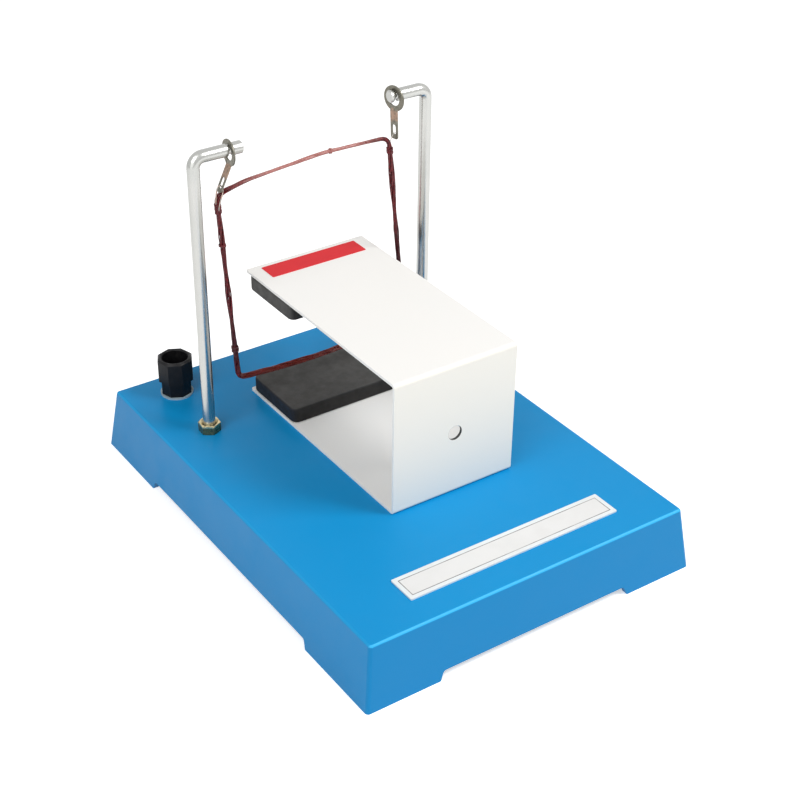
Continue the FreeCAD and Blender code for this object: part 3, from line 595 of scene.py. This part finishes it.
def windCoil(line, outward):
    # one strand in the middle, the rest of the core half way out, all others round the outside
    chance = random.Random(coil["seed"])
    core, waves = coil["core"], range(coil["waves"])
    bundle = newWire("coilStrands", coil["wire"], 1)
    for strand in range(coil["strands"]):
        ring = 0.0 if strand == 0 else (0.5 if strand < core else 1.0)
        start = 2 * math.pi * strand / (core - 1 if strand < core else coil["strands"] - core)
        drift = [chance.uniform(-1, 1) for wave in waves]
        points = []
        for number, (spot, out) in enumerate(zip(line, outward)):
            way = 2 * math.pi * number / len(line)
            wander = sum(drift[wave] * math.sin((2 + 3 * wave) * way + drift[wave - 1] * 9) for wave in waves)
            angle = start + coil["wander"] * wander + coil["twist"] * way
            reach = (girthAt(number / len(line)) - coil["wire"] / 2) * ring
            reach *= 1 - coil["pulse"] + coil["pulse"] * math.sin(coil["pulses"] * way + drift[0] * 8)
            points.append(spot + out * reach * math.cos(angle) + Vector((0, reach * math.sin(angle), 0)))
        addSpline(bundle, points, closed=True)
    finishPiece(bundle, "coil", "enamelled_wire", stands=("coil_winding",))


# Ties: a few turns of the same wire round the bundle
ties = {
    # near which place in the coil's plane, in mm, and how many turns
    "turns": ((-42.1, 121.5, 8), (-40.9, 106.0, 2), (-37.4, 60.2, 5), (8.0, 134.2, 2),
              (35.9, 126.5, 5), (20.0, 46.6, 3)),
    # how far out and how far apart the turns lie, in thicknesses of the wire
    "stand": 0.3, "pitch": 1.15, "uneven": 0.00005,
    # the last part of each end is pulled in under the bundle's strands, by a share of its radius
    "end": 0.1, "pull": 0.25,
    "stepsPerTurn": 12, "seed": 5,
}


def tieCoil(line, outward):
    chance = random.Random(ties["seed"])
    wire = newWire("coilTies", coil["wire"], 1)
    for x, z, turns in ties["turns"]:
        near = Vector((x / 1000, coil["plane"], z / 1000))
        middle = min(range(len(line)), key=lambda number: (line[number] - near).length)
        spot, out = line[middle], outward[middle]
        along = Vector((-out.z, 0, out.x))
        start = chance.uniform(0, 6)
        steps = ties["stepsPerTurn"] * turns
        around = girthAt(middle / len(line)) + coil["wire"] * ties["stand"]
        points = []
        for step in range(steps + 1):
            angle = start + 2 * math.pi * step / ties["stepsPerTurn"]
            share = step / steps
            pulled = max(0.0, abs(share - 0.5) * 2 - (1 - ties["end"])) / ties["end"]
            tight = around * (1 - ties["pull"] * pulled) + ties["uneven"] * math.sin(angle * 0.7 + start)
            shift = (share - 0.5) * turns * coil["wire"] * ties["pitch"]
            points.append(spot + along * shift + out * tight * math.cos(angle)
                          + Vector((0, tight * math.sin(angle), 0)))
        addSpline(wire, points)
    finishPiece(wire, "coil", "enamelled_wire", stands=("coil_wraps",))


# Wire ends: bared and tinned, hooked through the lugs' slots and caught under the ties.
# The wire's thickness is in metres, its spots are in mm.
leads = {
    "left": {"wire": 0.00055, "spots": (
        (-42.7, 49.4, 121.0), (-43.1, 49.1, 122.2), (-43.4, 48.7, 123.6), (-43.5, 48.5, 125.4),
        (-43.3, 48.6, 127.2), (-42.9, 48.8, 129.2), (-42.3, 49.0, 130.9), (-41.4, 49.0, 131.6),
        (-40.5, 49.0, 131.1), (-40.2, 48.6, 129.8), (-40.8, 47.9, 128.3), (-41.8, 47.5, 126.6),
        (-42.5, 47.4, 124.8), (-42.8, 47.6, 123.2), (-42.7, 48.0, 121.6), (-42.4, 48.4, 120.6))},
    "right": {"wire": 0.0003, "spots": (
        (34.6, 48.6, 131.0), (35.2, 48.7, 132.0), (35.9, 48.8, 133.1), (36.6, 48.9, 134.0),
        (37.3, 49.0, 134.4), (38.0, 49.0, 134.1), (38.3, 49.0, 133.3), (38.2, 49.0, 132.5))},
}


def hookLeads():
    for side, lead in leads.items():
        wire = newWire("coilLead" + side.title(), lead["wire"], 2)
        addSpline(wire, [Vector(spot) / 1000 for spot in lead["spots"]])
        finishPiece(wire, "coil", "bare_copper", stands=(f"coil_lead_{side}",))


coilPath = coilLine()
windCoil(*coilPath)
tieCoil(*coilPath)
hookLeads()
print("coil wound")


# Threads: the crest winds up the plain end of each post and binding stud, in mm
threads = {
    "postThread": {"x": 51.8, "y": 49.0, "radius": 2.50, "pitch": 0.8, "low": 13.9, "high": 29.8,
                   "crest": 0.44, "slot": "bright_rod"},
    "studThread": {"x": 49.3, "y": 82.0, "radius": 3.0, "pitch": 1.0, "low": 16.4, "high": 22.2,
                   "crest": 0.5, "slot": "plated_stud"},
}
threadSteps = 14  # in each turn


def windThreads():
    for name, thread in threads.items():
        for side, sign in (("Left", -1), ("Right", 1)):
            ridge = newWire(name + side, thread["crest"] / 1000, 0)
            steps = round(threadSteps * (thread["high"] - thread["low"]) / thread["pitch"])
            runOut = threadSteps / 2
            points = []
            for step in range(steps + 1):
                angle = 2 * math.pi * step / threadSteps
                # the first and last half turns run out into the rod
                sink = thread["crest"] * (1 - min(1, step / runOut, (steps - step) / runOut))
                reach = thread["radius"] - sink
                points.append(Vector((sign * thread["x"] + reach * math.cos(angle),
                                      thread["y"] + reach * math.sin(angle),
                                      thread["low"] + thread["pitch"] * step / threadSteps)) / 1000)
            addSpline(ridge, points)
            finishPiece(ridge, "base", thread["slot"], smooth=20)


# Solder where the jumper wires meet the tags: a lump drawn out along the wire
solder = {
    # where the lumps lie, in mm, each one on both sides
    "spots": ((35.9, 82.0, 22.55), (38.4, 49.0, 20.15)),
    # a small ball, and how many times its size each way
    "ball": 0.001, "size": (2.1, 1.35, 1.0), "uneven": 0.00022, "evened": 0.6,
}


def dropSolder():
    lumps = []
    for number, (x, y, z) in enumerate(solder["spots"]):
        for sign in (-1, 1):
            bpy.ops.object.select_all(action="DESELECT")
            bpy.ops.mesh.primitive_ico_sphere_add(subdivisions=3, radius=solder["ball"], location=(0, 0, 0))
            lumps.append(bpy.context.object)
            bpy.ops.object.mode_set(mode="EDIT")
            bpy.ops.transform.resize(value=solder["size"])
            bpy.ops.transform.vertex_random(offset=solder["uneven"], seed=number * 2 + (sign > 0))
            bpy.ops.mesh.vertices_smooth(factor=solder["evened"], repeat=1)
            bpy.ops.transform.translate(value=(sign * x / 1000, y / 1000, z / 1000))
            bpy.ops.object.mode_set(mode="OBJECT")
    bpy.ops.object.select_all(action="DESELECT")
    for lump in lumps:
        lump.select_set(True)
    bpy.context.view_layer.objects.active = lumps[0]
    bpy.ops.object.join()
    lumps[0].name = lumps[0].data.name = "solderJoints"
    finishPiece(lumps[0], "base", "tinned_lug")


windThreads()
dropSolder()
print("threads and solder added")


# Hard pieces: the node's own form, welded, with the sharp edges broken as a real one's are
edges = {
    "weld": 0.000002, "flatAngle": 0.6, "sharpAngle": 35, "segments": 2,
    # node, name, body, and how wide the broken edge is
    "pieces": (
        ("yoke", "magnetYoke", "magnet", 0.00018),
        ("magnet_lower", "magnetLower", "magnet", 0.0005),
        ("magnet_upper", "magnetUpper", "magnet", 0.0005),
        ("post_nut_left", "postNutLeft", "base", 0.00012),
        ("post_nut_right", "postNutRight", "base", 0.00012),
        ("binding_cap_left", "bindingCapLeft", "cap_left", 0.00022),
        ("binding_cap_right", "bindingCapRight", "cap_right", 0.00022),
        ("binding_collar_left", "bindingCollarLeft", "base", 0.00018),
        ("binding_collar_right", "bindingCollarRight", "base", 0.00018),
        ("hanger_lug_left", "hangerLugLeft", "coil", 0.00012),
        ("post_left", "coilPostLeft", "base", 0.00008),
        ("post_right", "coilPostRight", "base", 0.00008),
        ("hanger_lug_right", "hangerLugRight", "coil", 0.00012),
    ),
    # the right lug's tail is longer: below which height, and by how much
    "drawnDown": {"hanger_lug_right": ((0.1425, 0.0016), (0.13355, 0.0006))},
}


def drawDown(piece, below, drop):
    # moves all that lies below a height, from edit mode and back to it
    bpy.ops.mesh.select_all(action="DESELECT")
    bpy.ops.object.mode_set(mode="OBJECT")
    for vertex in piece.data.vertices:
        vertex.select = vertex.co.z < below
    bpy.ops.object.mode_set(mode="EDIT")
    bpy.ops.transform.translate(value=(0, 0, -drop))


def breakEdges(node, name, body, width):
    bpy.ops.object.select_all(action="DESELECT")
    piece = bpy.data.objects.new(name, frame["nodes"][node].data.copy())
    bpy.context.scene.collection.objects.link(piece)
    piece.select_set(True)
    bpy.context.view_layer.objects.active = piece
    if piece.data.has_custom_normals:
        bpy.ops.mesh.customdata_custom_splitnormals_clear()
    bpy.ops.object.mode_set(mode="EDIT")
    bpy.ops.mesh.select_all(action="SELECT")
    bpy.ops.mesh.remove_doubles(threshold=edges["weld"])
    bpy.ops.mesh.dissolve_limited(angle_limit=math.radians(edges["flatAngle"]))
    for below, drop in edges["drawnDown"].get(node, ()):
        drawDown(piece, below, drop)
    bpy.ops.object.mode_set(mode="OBJECT")
    bevel = piece.modifiers.new("brokenEdge", "BEVEL")
    bevel.width = width
    bevel.segments = edges["segments"]
    bevel.limit_method = "ANGLE"
    bevel.angle_limit = math.radians(edges["sharpAngle"])
    bpy.ops.object.modifier_apply(modifier=bevel.name)
    finishPiece(piece, body, nodeSlots[node], smooth=edges["sharpAngle"], stands=(node,))
    flat = piece.modifiers.new("flatFaces", "WEIGHTED_NORMAL")
    flat.keep_sharp = True
    bpy.ops.object.modifier_apply(modifier=flat.name)


for settings in edges["pieces"]:
    breakEdges(*settings)
print("edges broken")
